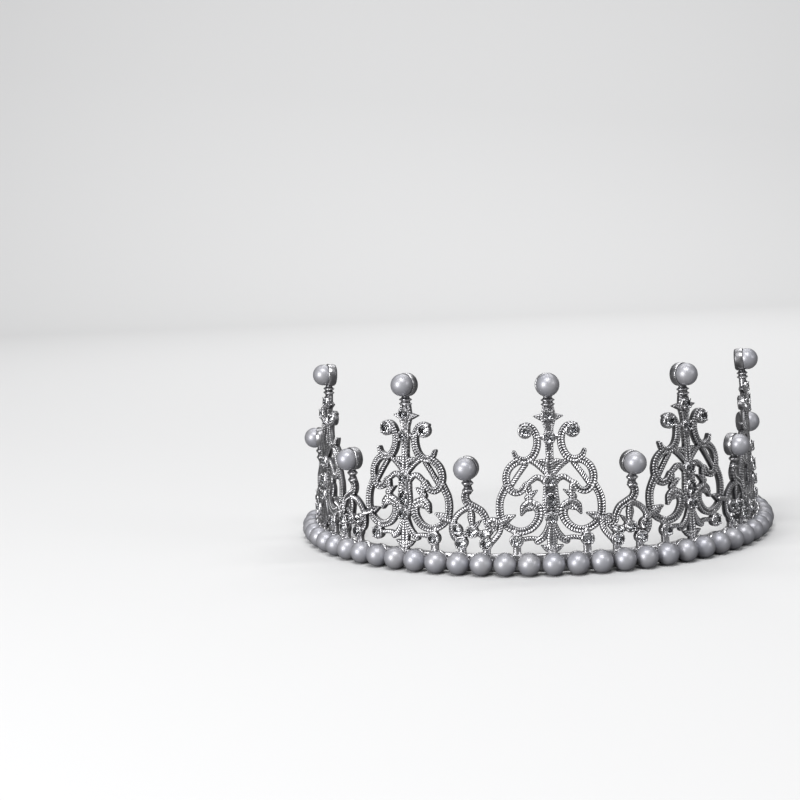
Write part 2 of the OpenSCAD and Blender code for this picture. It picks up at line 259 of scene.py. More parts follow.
square_tube = skin(np.array([[[x, y, z] for x, y in ((0, 0), (1, 0), (1, 1), (0, 1))]
                             for z in (0.0, 1.0)]), 1.0)
print("a square tube closes with", len(square_tube[1]), "quads and", len(square_tube[2]), "triangles")

# %% [markdown]
# ## Lathe work
# Cups, settings, collars and beads are turned shapes: a profile of radius against height is
# carried round an axis. A ripple on the radius makes the row of tiny grains that a jeweller
# rolls along an edge. Their ends always close on the axis.

# %% Turned shapes
def lathe(radius, height, sides=32, grain=0.0, grains=16, where=None, relief=1.0, squash=1.0):
    """Carry the profile round z: x = r cos t, y = r sin t, with r raised by the grains."""
    t = np.linspace(0, 2 * np.pi, sides, endpoint=False)
    r, z = np.asarray(radius, float)[:, None], np.asarray(height, float)[:, None]
    weight = np.zeros_like(r) if where is None else np.asarray(where, float)[:, None]
    bead = np.abs(np.cos(grains * t / 2))
    r = r + grain * weight * (bead - 0.5)
    rings = np.stack(np.broadcast_arrays(r * np.cos(t), squash * r * np.sin(t), z), -1)
    marks = np.broadcast_to(np.asarray(relief, float).reshape(-1, 1), r.shape)
    return skin(rings, marks * (1 - 0.55 * weight * (1 - bead)))


def ball(radius, rows=24, sides=40):
    """A sphere from pole to pole: radius times the sine and cosine of the polar angle."""
    a = np.linspace(np.pi, 0, rows + 2)[1:-1]
    return lathe(radius * np.sin(a), radius * np.cos(a), sides)


print("a ball has", len(ball(1)[0]), "points")

# %% [markdown]
# ## Filigree strokes
# The open work is made of strokes with a raised pattern: two twisted ropes side by side on the
# main scrolls, one rope on the thin ones, a veined leaf at the ends, or a plain bar. Each is a
# profile carried along a smooth line. The line is the same cubic through a few chosen points
# that the CAD outline uses. The pattern is part of the surface itself, so it catches the light
# from every side and stays in the mesh.

# %% Smooth lines
STEP = 0.13
WALL_T = 1.8


def through(points, spans=24):
    """Cubic through the points whose slope at each one follows its neighbours, ends mirrored."""
    p = np.asarray(points, float)
    p = np.vstack([2 * p[:1] - p[1:2], p, 2 * p[-1:] - p[-2:-1]])
    t = np.linspace(0, 1, spans, endpoint=False)[None, :, None]
    a, b, c, d = (p[k:len(p) - 3 + k, None, :] for k in range(4))
    body = 0.5 * (2 * b + (c - a) * t + (2 * a - 5 * b + 4 * c - d) * t**2
                  + (3 * b - a - 3 * c + d) * t**3)
    return np.vstack([body.reshape(-1, p.shape[1]), p[-2:-1]])


def even_steps(points, widths):
    """Walk the smooth line in equal steps, half a width past each end, with caps that round it.

    Gives the distance walked, the place, the direction, the width and the cap factor, which is
    the height of a half circle over each end and 1 between them."""
    line = through(points)
    span = np.concatenate([[0], np.cumsum(np.linalg.norm(np.diff(line, axis=0), axis=1))])
    knots = np.linspace(0, 1, len(np.atleast_1d(widths)))
    ends = np.atleast_1d(widths)[[0, -1]] / 2
    a = np.linspace(-ends[0], span[-1] + ends[1],
                    max(6, int((span[-1] + ends.sum()) / STEP)))
    inside = np.clip(a, 0, span[-1])
    place = np.stack([np.interp(inside, span, line[:, k]) for k in range(2)], -1)
    along = np.gradient(line, span, axis=0)
    along = np.stack([np.interp(inside, span, along[:, k]) for k in range(2)], -1)
    along /= np.linalg.norm(along, axis=1)[:, None]
    place = place + (a - inside)[:, None] * along
    width = np.interp(inside / span[-1], knots, np.atleast_1d(widths))
    past = np.minimum((a + ends[0]) / ends[0], (span[-1] + ends[1] - a) / ends[1])
    return a, place, along, width, np.sqrt(1 - (1 - np.clip(past, 0.02, 1))**2)


walked = even_steps([(0, 0), (5, 3), (9, 0)], 2.1)[0]
print("a bow 9 mm wide is walked in", len(walked), "steps over", round(np.ptp(walked), 1), "mm")

# %% [markdown]
# ## Rope, leaf and bar profiles
# Each profile gives, for a place c across the stroke from -1 to 1 and a distance a along it,
# how far the front stands out and how high the relief mark is. The twist is a cosine of the
# distance that is shifted a little across the rope, so its strands run slantwise.

# %% Profiles
GRAIN = 0.8


def grains(a, shift, sharp=0.9):
    """The rope's strands: |cos| along it, so every gap is a narrow valley and every crest round."""
    return np.abs(np.cos(np.pi * (a / GRAIN + shift)))**sharp


def two_ropes(a, c):
    """Two half-round humps that nearly meet in a channel, cut across by slanting strands."""
    x = np.abs(c)
    hump = np.clip(1 - ((x - 0.53) / 0.49)**2, 0, 1)**0.4
    bead = grains(a, 0.5 * x)
    return 0.15 + 0.75 * hump * (0.45 + 0.55 * bead), np.maximum(hump, 0.3) * bead


def one_rope(a, c):
    """One half-round hump with slanting strands."""
    hump = (1 - c**2)**0.4
    bead = grains(a, 0.6 * c)
    return 0.1 + 0.8 * hump * (0.5 + 0.5 * bead), 0.05 + 0.95 * hump * bead


def leaf(a, c):
    """A low dome with a sunk middle vein and ribs that run out and forwards from it."""
    hump = np.sqrt(1 - c**2)
    vein = np.exp(-(c / 0.16)**2)
    rib = grains(a, -0.8 * np.abs(c), 0.8)
    return (0.1 + 0.85 * hump * (0.65 + 0.35 * rib) - 0.35 * vein * hump,
            0.12 + 0.88 * hump * rib - 0.6 * vein)


def plain_bar(a, c):
    """A smooth half-round bar, a little worn."""
    hump = np.sqrt(1 - c**2)
    return 0.1 + 0.75 * hump + 0 * a, 0.5 + 0.4 * hump + 0 * a


def beaded_band(a, c):
    """A flat band with a row of grains along each edge and a cross-hatched field of low studs."""
    edge = np.exp(-((np.abs(c) - 0.8) / 0.17)**2)
    bead = grains(a, 0)
    stud = grains(0.75 * a, 1.4 * c) * grains(0.75 * a, -1.4 * c)
    return (0.45 + 0.15 * np.sqrt(1 - c**2) + edge * (0.1 + 0.4 * bead) + 0.3 * stud * (1 - edge),
            edge * (0.1 + 0.9 * bead) + (1 - edge) * 0.9 * stud)


ACROSS = np.sin(np.linspace(-np.pi / 2, np.pi / 2, 13))
BACK = np.array([0.88, 0.45, -0.45, -0.88])


def stroke(points, widths, profile=two_ropes, lift=0.0, back=-WALL_T / 2):
    """Carry the profile along the line: place + side * c * width / 2, raised by the profile.

    The front runs from one edge to the other, then the flat back returns under it."""
    a, place, along, width, cap = even_steps(points, np.atleast_1d(widths) + 0.2)
    side = np.stack([-along[:, 1], along[:, 0]], -1)
    n, relief = profile(a[:, None], ACROSS[None, :])
    c = np.concatenate([ACROSS, BACK])[None, :]
    n = np.concatenate([n * cap[:, None] + lift, np.full((len(a), len(BACK)), back)], 1)
    relief = np.concatenate([np.broadcast_to(relief, (len(a), len(ACROSS))),
                             np.full((len(a), len(BACK)), 0.6)], 1)
    flat = place[:, None] + side[:, None] * (c * (width * cap / 2)[:, None])[..., None]
    return skin(np.concatenate([flat, n[..., None]], -1), relief)


def mirrored(points):
    """The same points on the other side of the middle: u becomes -u."""
    return [(-u, h) for u, h in points]


def strokes(drawing, place, flip=False):
    """Make every stroke of a drawing and bend it onto the wall; flip swaps left and right."""
    return [placed(stroke(mirrored(points) if flip else points, *rest), place)
            for points, *rest in drawing]


trial = stroke([(0, 0), (5, 3), (9, 0)], 2.1)
print("one rope stroke has", len(trial[1]), "faces")

# %% [markdown]
# ## Settings and stones
# A round setting is a short turned cup with grains round its rim and four claws bent over the
# stone. The stone is cut with an eight-sided table, two rows of crown facets, a thin girdle
# and a pointed back. Its facets stay flat, which is what makes it sparkle.

# %% Settings and stones
STONE_R = 1.6
CROWN_Z = 1.5


def setting(place, radius=2.1, seat=STONE_R, stretch=1.0, claws=4):
    """Turned cup: up the outside, over a grained rim, down the inner cone. Claws are half balls
    on the rim, every quarter turn."""
    r = [0.01, radius - 0.25, radius - 0.1, radius, radius, radius - 0.12,
         seat + 0.05, seat - 0.1, 0.5, 0.01]
    z = [-0.9, -0.9, -0.75, -0.3, 1.1, 1.45, 1.5, 1.3, 0.5, 0.45]
    where = [0, 0, 0, 0, 1, 1, 0.3, 0, 0, 0]
    relief = [0.8, 0.8, 0.7, 0.3, 0.9, 1, 0.5, 0.15, 0.1, 0.1]
    parts = [lathe(r, z, 48, 0.28, 16, where, relief, stretch)]
    for k in range(claws):
        t = np.pi / 4 + 2 * np.pi * k / claws
        bead = ball(0.42, 6, 10)
        out = seat + 0.05
        shift = np.array([out * np.cos(t), stretch * out * np.sin(t), CROWN_Z + 0.25])
        parts.append((bead[0] * [1, 1, 1.15] + shift, *bead[1:]))
    return [placed(p, place) for p in parts]


def brilliant(place, radius=STONE_R, stretch=1.0):
    """Cut stone: rings of 8, 8 and 16 corners for table, crown and girdle, then the back point.

    Each ring is the radius times a share, at its own height, turned by half a facet from the
    last one, and every face between two rings is a flat triangle or kite."""
    def ring(count, share, z, shift):
        t = 2 * np.pi * (np.arange(count) + shift) / count
        r = radius * share
        return np.stack([r * np.cos(t), stretch * r * np.sin(t), 0 * t + z], -1)
    table, star = ring(8, 0.56, CROWN_Z + 0.62, 0.5), ring(8, 0.80, CROWN_Z + 0.44, 0)
    girdle, under = ring(16, 1.0, CROWN_Z + 0.14, 0), ring(16, 1.0, CROWN_Z, 0)
    pavilion = ring(8, 0.55, CROWN_Z - 0.55, 0.5)
    tips = [[0, 0, CROWN_Z + 0.62], [0, 0, CROWN_Z - 1.1]]
    verts = np.vstack([table, star, girdle, under, pavilion, tips])
    k = np.arange(8)
    n = (k + 1) % 8
    tri = [np.stack([0 * k + 56, k, n], -1)]
    tri.append(np.stack([k, 8 + n, n], -1))
    tri.append(np.stack([8 + k, 16 + 2 * k, 16 + 2 * k + 1], -1))
    tri.append(np.stack([8 + n, 16 + 2 * k + 1, 16 + (2 * k + 2) % 16], -1))
    tri.append(np.stack([k, 16 + 2 * k + 1, 8 + n], -1))
    tri.append(np.stack([k, 8 + k, 16 + 2 * k + 1], -1))
    g = np.arange(16)
    quads = np.stack([16 + g, 32 + g, 32 + (g + 1) % 16, 16 + (g + 1) % 16], -1)
    tri.append(np.stack([48 + k, 32 + 2 * k + 1, 32 + 2 * k], -1))
    tri.append(np.stack([48 + k, 32 + (2 * k + 2) % 16, 32 + 2 * k + 1], -1))
    tri.append(np.stack([48 + k, 48 + n, 32 + (2 * k + 2) % 16], -1))
    tri.append(np.stack([48 + n, 48 + k, 0 * k + 57], -1))
    return placed((verts, quads, np.concatenate(tri), np.ones(len(verts))), place)


# %% [markdown]
# The stone above has one seam to check: every edge must be shared by exactly two faces, or the
# mesh would leak. Counting the edges in both directions shows it at once.

# %% Check that the cut stone is closed
def open_edges(part):
    """Edges that don't have a partner running the other way."""
    loops = [part[1][:, [k, (k + 1) % 4]] for k in range(4)]
    loops += [part[2][:, [k, (k + 1) % 3]] for k in range(3)]
    edges = {tuple(e) for e in np.concatenate(loops).tolist()}
    return sum((b, a) not in edges for a, b in edges)


stone_check = brilliant(lambda p: p)
print("open edges of a stone:", open_edges(stone_check), "of a rope:", open_edges(trial))

# %% [markdown]
# A top pearl sits in a drum-shaped cup, and the cup on a turned neck with rings. Both are
# profiles for the lathe: the drum lies on its side, facing outwards, and the neck stands up.

# %% Pearl cups and collars
PEARL_OUT = 2.2
GLUE = 0.03


def drum(place):
    """Deep cup behind a pearl: flat back, rounded corner, straight side up to the grained rim,
    then down inside along the pearl's own sphere."""
    inner, rim, side, back = PEARL_R + GLUE, -1.2, 3.65, -4.1
    corner = np.linspace(0, np.pi / 2, 6)
    b = np.linspace(np.arccos(-rim / inner), 0.02, 10)
    r = np.concatenate([[0.02, 1.5], side - 0.8 + 0.8 * np.sin(corner),
                        [side, side, side - 0.1], inner * np.sin(b)])
    z = np.concatenate([[back, back], back + 0.8 - 0.8 * np.cos(corner),
                        [-2.4, rim - 0.15, rim], -inner * np.cos(b)])
    where = np.zeros(len(r))
    where[9:11] = 1
    relief = np.concatenate([np.full(8, 0.4), [0.45, 0.9, 0.8], 0.1 + 0 * b])
    return placed(lathe(r, z + PEARL_OUT, 72, 0.18, 32, where, relief), place)


def collar(bend, u, low, high, rings, core, lift=0.2):
    """Neck turned about an upright axis: a core radius plus one bump for each ring height."""
    h = np.linspace(low, high, 40)
    r = core + sum(size * np.exp(-((h - at) / wide)**2) for at, size, wide in rings)
    relief = 0.3 + 0.7 * np.clip((r - core) / (r.max() - core), 0, 1)**2
    neck = lathe(r, h, 32, relief=relief, squash=0.85)
    return placed(neck, lambda p: bend(np.stack([u + p[..., 0], p[..., 2], lift + p[..., 1]], -1)))


def pearl(place, out=PEARL_OUT):
    """A full ball whose middle stands out from the wall."""
    made = ball(PEARL_R, 26, 48)
    return placed((made[0] + [0, 0, out], *made[1:]), place)


print("drum grid is", len(drum(standing(0, 0, 54))[1]), "faces")

# %% [markdown]
# ## Silver with an antique patina
# The plating is bright, but the maker darkens it chemically and then polishes the crests, so
# the recesses stay nearly black. One node group does this for every casting: it reads the
# relief mark that the shapes carry, breaks its edge up with a fine noise, and gives the
# colour, the roughness and a fine cast grain for the bump.

# %% The patina group
def group_input(group, name, value, kind="NodeSocketFloat"):
    """A named input on the group, with the value it has when nothing is set."""
    socket = group.interface.new_socket(name=name, in_out="INPUT", socket_type=kind)
    socket.default_value = value


def make_patina_group():
    """Polish = a smooth step of relief + half the stain - a quarter, between Recess and Crest.

    It fades Dark to Bright and rough to smooth. Height is the fine cast grain."""
    group = bpy.data.node_groups.new("antique_patina", "ShaderNodeTree")
    group_input(group, "Relief", 1.0)
    group_input(group, "Recess", 0.35)
    group_input(group, "Crest", 0.85)
    group_input(group, "Grain Scale", 1500.0)
    group_input(group, "Bright", (0.8, 0.8, 0.81, 1), "NodeSocketColor")
    group_input(group, "Dark", (0.10, 0.10, 0.108, 1), "NodeSocketColor")
    for name, kind in (("Color", "Color"), ("Roughness", "Float"), ("Height", "Float")):
        group.interface.new_socket(name=name, in_out="OUTPUT", socket_type="NodeSocket" + kind)
    nodes, links = group.nodes, group.links
    entry, leave = nodes.new("NodeGroupInput"), nodes.new("NodeGroupOutput")
    where = nodes.new("ShaderNodeTexCoord")
    grain, stain = nodes.new("ShaderNodeTexNoise"), nodes.new("ShaderNodeTexNoise")
    links.new(entry.outputs["Grain Scale"], grain.inputs["Scale"])
    grain.inputs["Detail"].default_value = 3
    stain.inputs["Scale"].default_value = 260
    stain.inputs["Detail"].default_value = 4
    for noise in (grain, stain):
        links.new(where.outputs["Object"], noise.inputs["Vector"])
    shifted = nodes.new("ShaderNodeMath")
    shifted.operation = "MULTIPLY_ADD"
    shifted.inputs[1].default_value = 0.5
    links.new(stain.outputs["Fac"], shifted.inputs[0])
    links.new(entry.outputs["Relief"], shifted.inputs[2])
    centred = nodes.new("ShaderNodeMath")
    centred.operation = "SUBTRACT"
    centred.inputs[1].default_value = 0.25
    links.new(shifted.outputs[0], centred.inputs[0])
    polish = nodes.new("ShaderNodeMapRange")
    polish.interpolation_type = "SMOOTHSTEP"
    links.new(centred.outputs[0], polish.inputs["Value"])
    links.new(entry.outputs["Recess"], polish.inputs["From Min"])
    links.new(entry.outputs["Crest"], polish.inputs["From Max"])
    colour = nodes.new("ShaderNodeMix")
    colour.data_type = "RGBA"
    links.new(polish.outputs[0], colour.inputs["Factor"])
    links.new(entry.outputs["Dark"], colour.inputs["A"])
    links.new(entry.outputs["Bright"], colour.inputs["B"])
    rough = nodes.new("ShaderNodeMapRange")
    rough.inputs["To Min"].default_value = 0.5
    rough.inputs["To Max"].default_value = 0.24
    links.new(polish.outputs[0], rough.inputs["Value"])
    links.new(colour.outputs["Result"], leave.inputs["Color"])
    links.new(rough.outputs[0], leave.inputs["Roughness"])
    links.new(grain.outputs["Fac"], leave.inputs["Height"])
    return group


patina = make_patina_group()
print("patina inputs:", [i.name for i in patina.interface.items_tree])


# %% [markdown]
# Two silvers use the group: the filigree's, and the rail's, which is a shade greyer. Each keeps
# its own metal shader and its own bump, because a group should give only values and colours.

# %% Silver materials
def new_material(name):
    """A new material, with its nodes, its links and its surface shader."""
    made = bpy.data.materials.new(name)
    made.use_nodes = True
    return made, made.node_tree.nodes, made.node_tree.links, made.node_tree.nodes["Principled BSDF"]


def silver(name, recess, crest, bright, grain_depth=0.00004):
    """Metal whose colour and roughness come from the patina group, with a fine cast grain."""
    made, nodes, links, shader = new_material(name)
    shader.inputs["Metallic"].default_value = 1.0
    mark = nodes.new("ShaderNodeAttribute")
    mark.attribute_name = "relief"
    finish = nodes.new("ShaderNodeGroup")
    finish.node_tree = patina
    finish.inputs["Recess"].default_value = recess
    finish.inputs["Crest"].default_value = crest
    finish.inputs["Bright"].default_value = (*bright, 1)
    links.new(mark.outputs["Fac"], finish.inputs["Relief"])
    links.new(finish.outputs["Color"], shader.inputs["Base Color"])
    links.new(finish.outputs["Roughness"], shader.inputs["Roughness"])
    bump = nodes.new("ShaderNodeBump")
    bump.inputs["Strength"].default_value = 0.6
    bump.inputs["Distance"].default_value = grain_depth
    links.new(finish.outputs["Height"], bump.inputs["Height"])
    links.new(bump.outputs["Normal"], shader.inputs["Normal"])
    return made


filigree_silver = silver("antique_silver", 0.12, 0.85, (0.68, 0.675, 0.69))
rail_silver = silver("rail_silver", 0.1, 0.85, (0.66, 0.655, 0.67))
print("silvers:", filigree_silver.name, rail_silver.name)

# %% [markdown]
# ## Pearl lacquer and cut glass
# An imitation pearl is a bead under many coats of pearl lacquer. It has a soft, wide highlight
# and a clear top coat, and its body colour is painted darker towards its edge by Layer Weight,
# which is a painted shade. A rhinestone is clear glass of a high index: its flat facets bend the
# view and mirror the room, so each one turns bright or dark by itself.

# %% Pearl and stone materials
def pearl_lacquer():
    """Body colour = a facing-to-edge ramp of painted edge shade, times a faint cloud; then a clear
    coat on top.
    """
    made, nodes, links, shader = new_material("pearl_lacquer")
    facing = nodes.new("ShaderNodeLayerWeight")
    facing.inputs["Blend"].default_value = 0.35
    # The rim ramp is painted shade: lighter where the pearl faces the view, darker towards its edge.
    rim = nodes.new("ShaderNodeValToRGB")
    rim.color_ramp.elements[0].position = 0.05
    rim.color_ramp.elements[0].color = (0.53, 0.532, 0.558, 1)
    rim.color_ramp.elements[1].position = 1.0
    rim.color_ramp.elements[1].color = (0.24, 0.242, 0.254, 1)
    links.new(facing.outputs["Facing"], rim.inputs["Fac"])
    where, cloud = nodes.new("ShaderNodeTexCoord"), nodes.new("ShaderNodeTexNoise")
    cloud.inputs["Scale"].default_value = 180
    cloud.inputs["Detail"].default_value = 4
    links.new(where.outputs["Object"], cloud.inputs["Vector"])
    tint = nodes.new("ShaderNodeValToRGB")
    tint.color_ramp.elements[0].position = 0.35
    tint.color_ramp.elements[0].color = (0.93, 0.935, 0.98, 1)
    tint.color_ramp.elements[1].position = 0.65
    tint.color_ramp.elements[1].color = (1.0, 0.99, 0.995, 1)
    links.new(cloud.outputs["Fac"], tint.inputs["Fac"])
    body = nodes.new("ShaderNodeMix")
    body.data_type, body.blend_type = "RGBA", "MULTIPLY"
    body.inputs["Factor"].default_value = 1
    links.new(rim.outputs["Color"], body.inputs["A"])
    links.new(tint.outputs["Color"], body.inputs["B"])
    links.new(body.outputs["Result"], shader.inputs["Base Color"])
    shader.inputs["Metallic"].default_value = 0.4
    shader.inputs["Roughness"].default_value = 0.42
    shader.inputs["Coat Weight"].default_value = 0.35
    shader.inputs["Coat Roughness"].default_value = 0.25
    return made


def cut_glass():
    """Clear glass with nearly no roughness; the flat facets do the rest."""
    made, *_, shader = new_material("cut_glass")
    shader.inputs["Base Color"].default_value = (0.93, 0.94, 0.96, 1)
    shader.inputs["Roughness"].default_value = 0.01
    shader.inputs["IOR"].default_value = 1.62
    shader.inputs["Transmission Weight"].default_value = 1.0
    return made


pearl_coat, stone_glass = pearl_lacquer(), cut_glass()
print("materials:", pearl_coat.name, stone_glass.name)

# %% [markdown]
# ## The rail
# The rail is one casting: a strip behind the pearls with a low rib along its inside, a shallow
# cup for each pearl, and a small mound of solder metal where each post lands. The strip is a
# closed section of points carried along the pearl line, so it bends exactly as the line does.

# %% Rail
RAIL_LOW, RAIL_TOP = -2.9, 2.7
RAIL_MIDDLE, RAIL_HALF = (RAIL_TOP + RAIL_LOW) / 2, (RAIL_TOP - RAIL_LOW) / 2
RAIL_PAST_PEARL = 3.4
RAIL_END = SIDE_PEARLS * PITCH + RAIL_PAST_PEARL
RIB_UP, RIB_WIDE, RIB_OUT = 1.2, 0.75, 0.85
END_ROUND = 0.25


def rail_strip():
    """Section round the strip: a rounded box whose inner side swells by a bump low down."""
    t = np.linspace(0, 2 * np.pi, 40, endpoint=False)
    flat = lambda v, k: np.sign(v) * np.abs(v)**k
    across, up = flat(np.cos(t), 0.45), flat(np.sin(t), 0.45)
    z = RAIL_MIDDLE + up * RAIL_HALF
    rib = RIB_OUT * np.exp(-((z - RAIL_LOW - RIB_UP) / RIB_WIDE)**2) * (across > 0)
    inside = WALL_IN + 0.9 * across + rib * np.clip(across, 0, 1)
    s = np.linspace(-RAIL_END, RAIL_END, 520)
    s = np.concatenate([[-RAIL_END - END_ROUND], s, [RAIL_END + END_ROUND]])
    shrink = np.ones(len(s))
    shrink[[0, -1]] = 0.7
    inside = WALL_IN + (inside - WALL_IN)[None] * shrink[:, None]
    z = RAIL_MIDDLE + (z - RAIL_MIDDLE)[None] * shrink[:, None]
    relief = 0.6 + 0.3 * np.clip(across[None] + 0.3, 0, 1) + 0 * s[:, None]
    return placed(skin(beside_line(s[:, None], inside, PEARL_Z + z), relief), lambda p: p)


print("the rail is", round(2 * (RAIL_END + END_ROUND), 1), "mm long along the pearls")

# %% [markdown]
# The rail's cups are shallow dishes, so its pearls show nearly whole, and the solder mounds
# are turned drops with an upright axis, a little inside the wall. Both are lathe profiles again.

# %% Pearl cups and solder mounds of the rail
MOUND_IN = 1.05


def pearl_cup(s):
    """Shallow dish on the strip: up the outside to a grained rim, then down the pearl's sphere."""
    rim, depth = 3.45, -1.15
    inner = PEARL_R + GLUE
    b = np.linspace(np.arccos(-depth / inner), 0.02, 10)
    r = np.concatenate([[0.02, 2.6, 3.2, rim - 0.1, rim, rim - 0.02], inner * np.sin(b)])
    z = np.concatenate([[-3.6, -3.5, -3.0, -2.4, -1.7, -1.2], -inner * np.cos(b)])
    where = np.concatenate([[0, 0, 0, 0.6, 1, 1], 0 * b])
    relief = np.concatenate([[0.5, 0.5, 0.5, 0.7, 1, 1], 0.15 + 0 * b])
    return placed(lathe(r, z, 72, 0.2, 30, where, relief), at_pearl(s))


def mound(s):
    """Flared foot: its radius falls off quickly with height, like a drop that ran down a post."""
    z = np.linspace(RAIL_LOW + 0.7, RAIL_TOP - 0.1, 16)
    r = 0.85 + 1.25 * np.exp(-(z - z[0]) / 1.6)
    base = lathe(np.r_[0.02, r], np.r_[z[0], z], 24, relief=0.85)
    return placed(base, lambda p: from_station(
        s, p[..., 0], -(bend_radius(s) - WALL_IN - MOUND_IN) + p[..., 1], PEARL_Z + p[..., 2]))


print("a cup has", len(pearl_cup(0)[1]), "faces, a mound", len(mound(0)[1]))

# %% [markdown]
# Posts land on the rail under each panel's spine and feet. The middle panel stands on both its
# foot posts; the others only on the foot nearer the front, and their other foot hangs free.

# %% Where posts land
FOOT_U, FOOT_H = 10.7, 6.8
POSTS = {0: (1,), 1: (1,), 2: (-1, 1), 3: (-1,), 4: (-1,)}
SCROLL_FEET = [(-3.9, 6.0), (3.9, 6.0)]
POST_W, POST_LOW = 2.2, -0.9
feet = [PANELS[i] + k * FOOT_U for i in range(5) for k in (0, *POSTS[i])]
feet += [s + u for s in SCROLLS for u, h in SCROLL_FEET]
print("the rail carries", len(feet), "posts")

rail = piece("pearl_rail_cast", [rail_strip()]
             + [pearl_cup(i * PITCH) for i in range(-SIDE_PEARLS, SIDE_PEARLS + 1)]
             + [mound(s) for s in feet], rail_silver, "pearl_rail")
print("rail faces:", len(rail.data.polygons))

# %% [markdown]
# ## Ring eyes
# Each end of the rail has a rod with a ring for a ribbon. The ring is a rounded square section
# carried round a circle; the rod swells a little where it was soldered at both ends.

# %% Ring eyes
EYE_R, EYE_HOLE_R, EYE_T = 4.6, 2.4, 2.4
ROD_SHOWN, ROD_IN_RING, ROD_IN_RAIL, ROD_R = 3.5, 0.6, 0.4, 1.1
EYE_S = RAIL_END + ROD_SHOWN + EYE_R
EYE_Z = EYE_R + 0.1


def end_eye(side):
    """Ring: middle radius plus a rounded section round the circle; rod: a turned bar to it."""
    s = side * EYE_S
    t = np.linspace(0, 2 * np.pi, 72, endpoint=False)[:, None]
    q = np.linspace(0, 2 * np.pi, 20, endpoint=False)[None]
    soft = lambda v: np.sign(v) * np.abs(v)**0.75
    r = (EYE_R + EYE_HOLE_R) / 2 + (EYE_R - EYE_HOLE_R) / 2 * soft(np.cos(q))
    rings = np.stack(np.broadcast_arrays(r * np.cos(t), r * np.sin(t),
                                         EYE_T / 2 * soft(np.sin(q))), -1)
    ring = placed(skin(rings, 0.9 - 0.5 * (np.cos(q) < -0.4), looped=True), lambda p: from_station(
        s, p[..., 0], -(bend_radius(s) - WALL_IN + p[..., 2]), EYE_Z + p[..., 1]))
    length = EYE_S - EYE_HOLE_R - ROD_IN_RING - RAIL_END
    z = np.linspace(-ROD_IN_RAIL, length, 24)
    swell = 0.75 * np.exp(-(z + ROD_IN_RAIL) / 0.7) + 0.45 * np.exp(-(length - z) / 0.6)
    rod = placed(lathe(ROD_R + swell, z, 24, relief=0.85), lambda p: from_station(
        side * RAIL_END, side * p[..., 2],
        -(bend_radius(s) - WALL_IN) + p[..., 0], EYE_Z + p[..., 1]))
    return [ring, rod]


left_eye = piece("left_ring_eye", end_eye(-1), rail_silver, "left_end_eye")
right_eye = piece("right_ring_eye", end_eye(1), rail_silver, "right_end_eye")
print("ring eyes:", left_eye.name, right_eye.name)

# %% [markdown]
# ## Tall panels
# One half of a panel is drawn and then mirrored. The lower scroll curls in to a leaf, the
# upper one crosses it, and above them a horn turns up into a round stone. The spine runs up
# the middle with its own stones, star leaves and a turned collar under the pearl.

# %% Drawing of a tall panel
CURL = (7.1, 40.1)
SPINE_STONES = (13.6, 24.8, 38.0, 44.9)
WINDOW_H, WINDOW_STRETCH = 18.6, 1.35
PEARL_H = 54.0

PANEL_HALF = [
    ([(13.4, 23.2), (15.1, 19.7), (15.5, 16.2), (14.9, 13.1), (12.7, 10.7), (9.5, 9.6),
      (6.4, 10.4), (4.2, 12.8), (3.6, 15.4), (4.7, 17.4), (7.0, 17.2)],
     [2.1, 2.1, 2.1, 2.2, 2.5, 2.9], two_ropes),
    ([(4.3, 17.0), (6.2, 17.8), (7.9, 16.9), (9.0, 14.7)], [2.6, 3.2, 2.7, 0.7], leaf, 0.1),
    ([(14.3, 12.8), (13.2, 13.6), (11.2, 14.4)], [2.8, 2.2, 0.7], leaf, 0.05),
    ([(6.7, 17.8), (6.5, 20.4), (6.9, 23.2)], [2.2, 1.6, 2.2], leaf),
    ([(6.9, 19.8), (5.6, 20.9), (4.1, 21.9)], [2.0, 1.6, 0.4], leaf, 0.05),
    ([(7.3, 23.9), (8.9, 21.9), (11.0, 21.6), (12.7, 23.4), (13.2, 26.1), (12.3, 28.8),
      (10.0, 30.8), (7.6, 31.2)], [1.7, 2.1, 2.1, 2.1], two_ropes, 0.15),
    ([(7.3, 30.0), (9.4, 27.2), (11.6, 24.0)], 1.5, one_rope, -0.15),
    ([(10.7, 33.8), (9.8, 32.1), (7.6, 31.2), (5.3, 32.2), (3.9, 34.8), (3.6, 37.8),
      (4.6, 40.6), (6.4, 42.0), (8.3, 41.8)],
     [1.0, 1.9, 2.2, 2.2, 2.1, 1.7, 0.9], two_ropes, 0.25),
    ([(6.4, 31.6), (3.6, 29.6), (1.0, 27.0)], 1.5, one_rope),
    ([(1.4, 24.2), (2.6, 25.5), (4.2, 25.9), (5.9, 24.8), (7.2, 23.8)],
     [1.7, 1.7, 1.5, 1.2], one_rope),
    ([(FOOT_U, FOOT_H), (10.9, 9.6)], 1.7, plain_bar),
    ([(0.9, 11.8), (1.8, 9.2), (3.0, 7.4), (4.4, 6.5)], [1.2, 1.6, 2.1, 2.0], leaf),
    ([(3.9, 7.1), (6.4, 7.4), (8.9, 7.1)], 1.2, one_rope, -0.1),
    ([(1.4, 38.2), (3.4, 38.2)], 1.5, plain_bar),
    ([(1.0, 44.0), (2.6, 44.3), (4.3, 44.5)], [2.6, 1.7, 0.3], leaf),
    ([(0.8, 30.0), (2.2, 30.6), (4.0, 30.9)], [2.0, 1.8, 0.4], leaf, 0.1),
    ([(0.6, 4.0), (1.8, 4.4), (3.2, 5.0)], [2.6, 1.9, 0.4], leaf),
]
